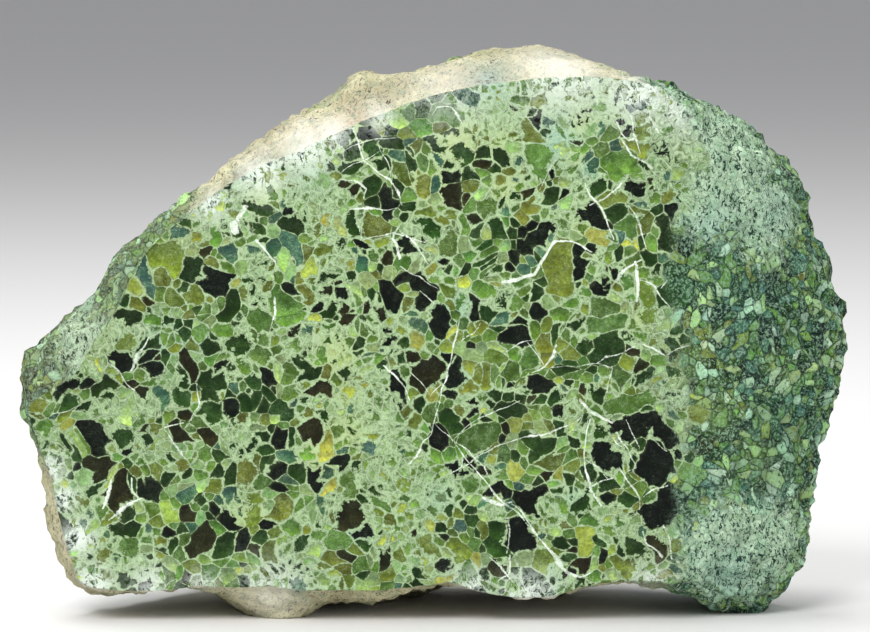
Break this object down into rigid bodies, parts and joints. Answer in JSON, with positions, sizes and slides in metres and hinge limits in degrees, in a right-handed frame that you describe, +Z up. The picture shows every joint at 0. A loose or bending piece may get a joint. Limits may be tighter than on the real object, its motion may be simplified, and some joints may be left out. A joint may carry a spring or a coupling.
{
  "type": "peridotite specimen",
  "caption": "Green peridotite hand specimen, a natural cobble with one sawn face, standing on small flats of its lower edge.",
  "frame": {"origin": "centre of the stone's footprint box, on the surface that it stands on", "axes": "+Z up, sawn face towards -Y, the stone's length along X"},
  "size_m": [0.1132, 0.0452, 0.077],
  "materials": {
    "peridotite": "sawn green olivine rock with pale veins and a weathered cream rind"
  },
  "bodies": {
    "root": {"peridotite": "peridotite"}
  },
  "joints": []
}
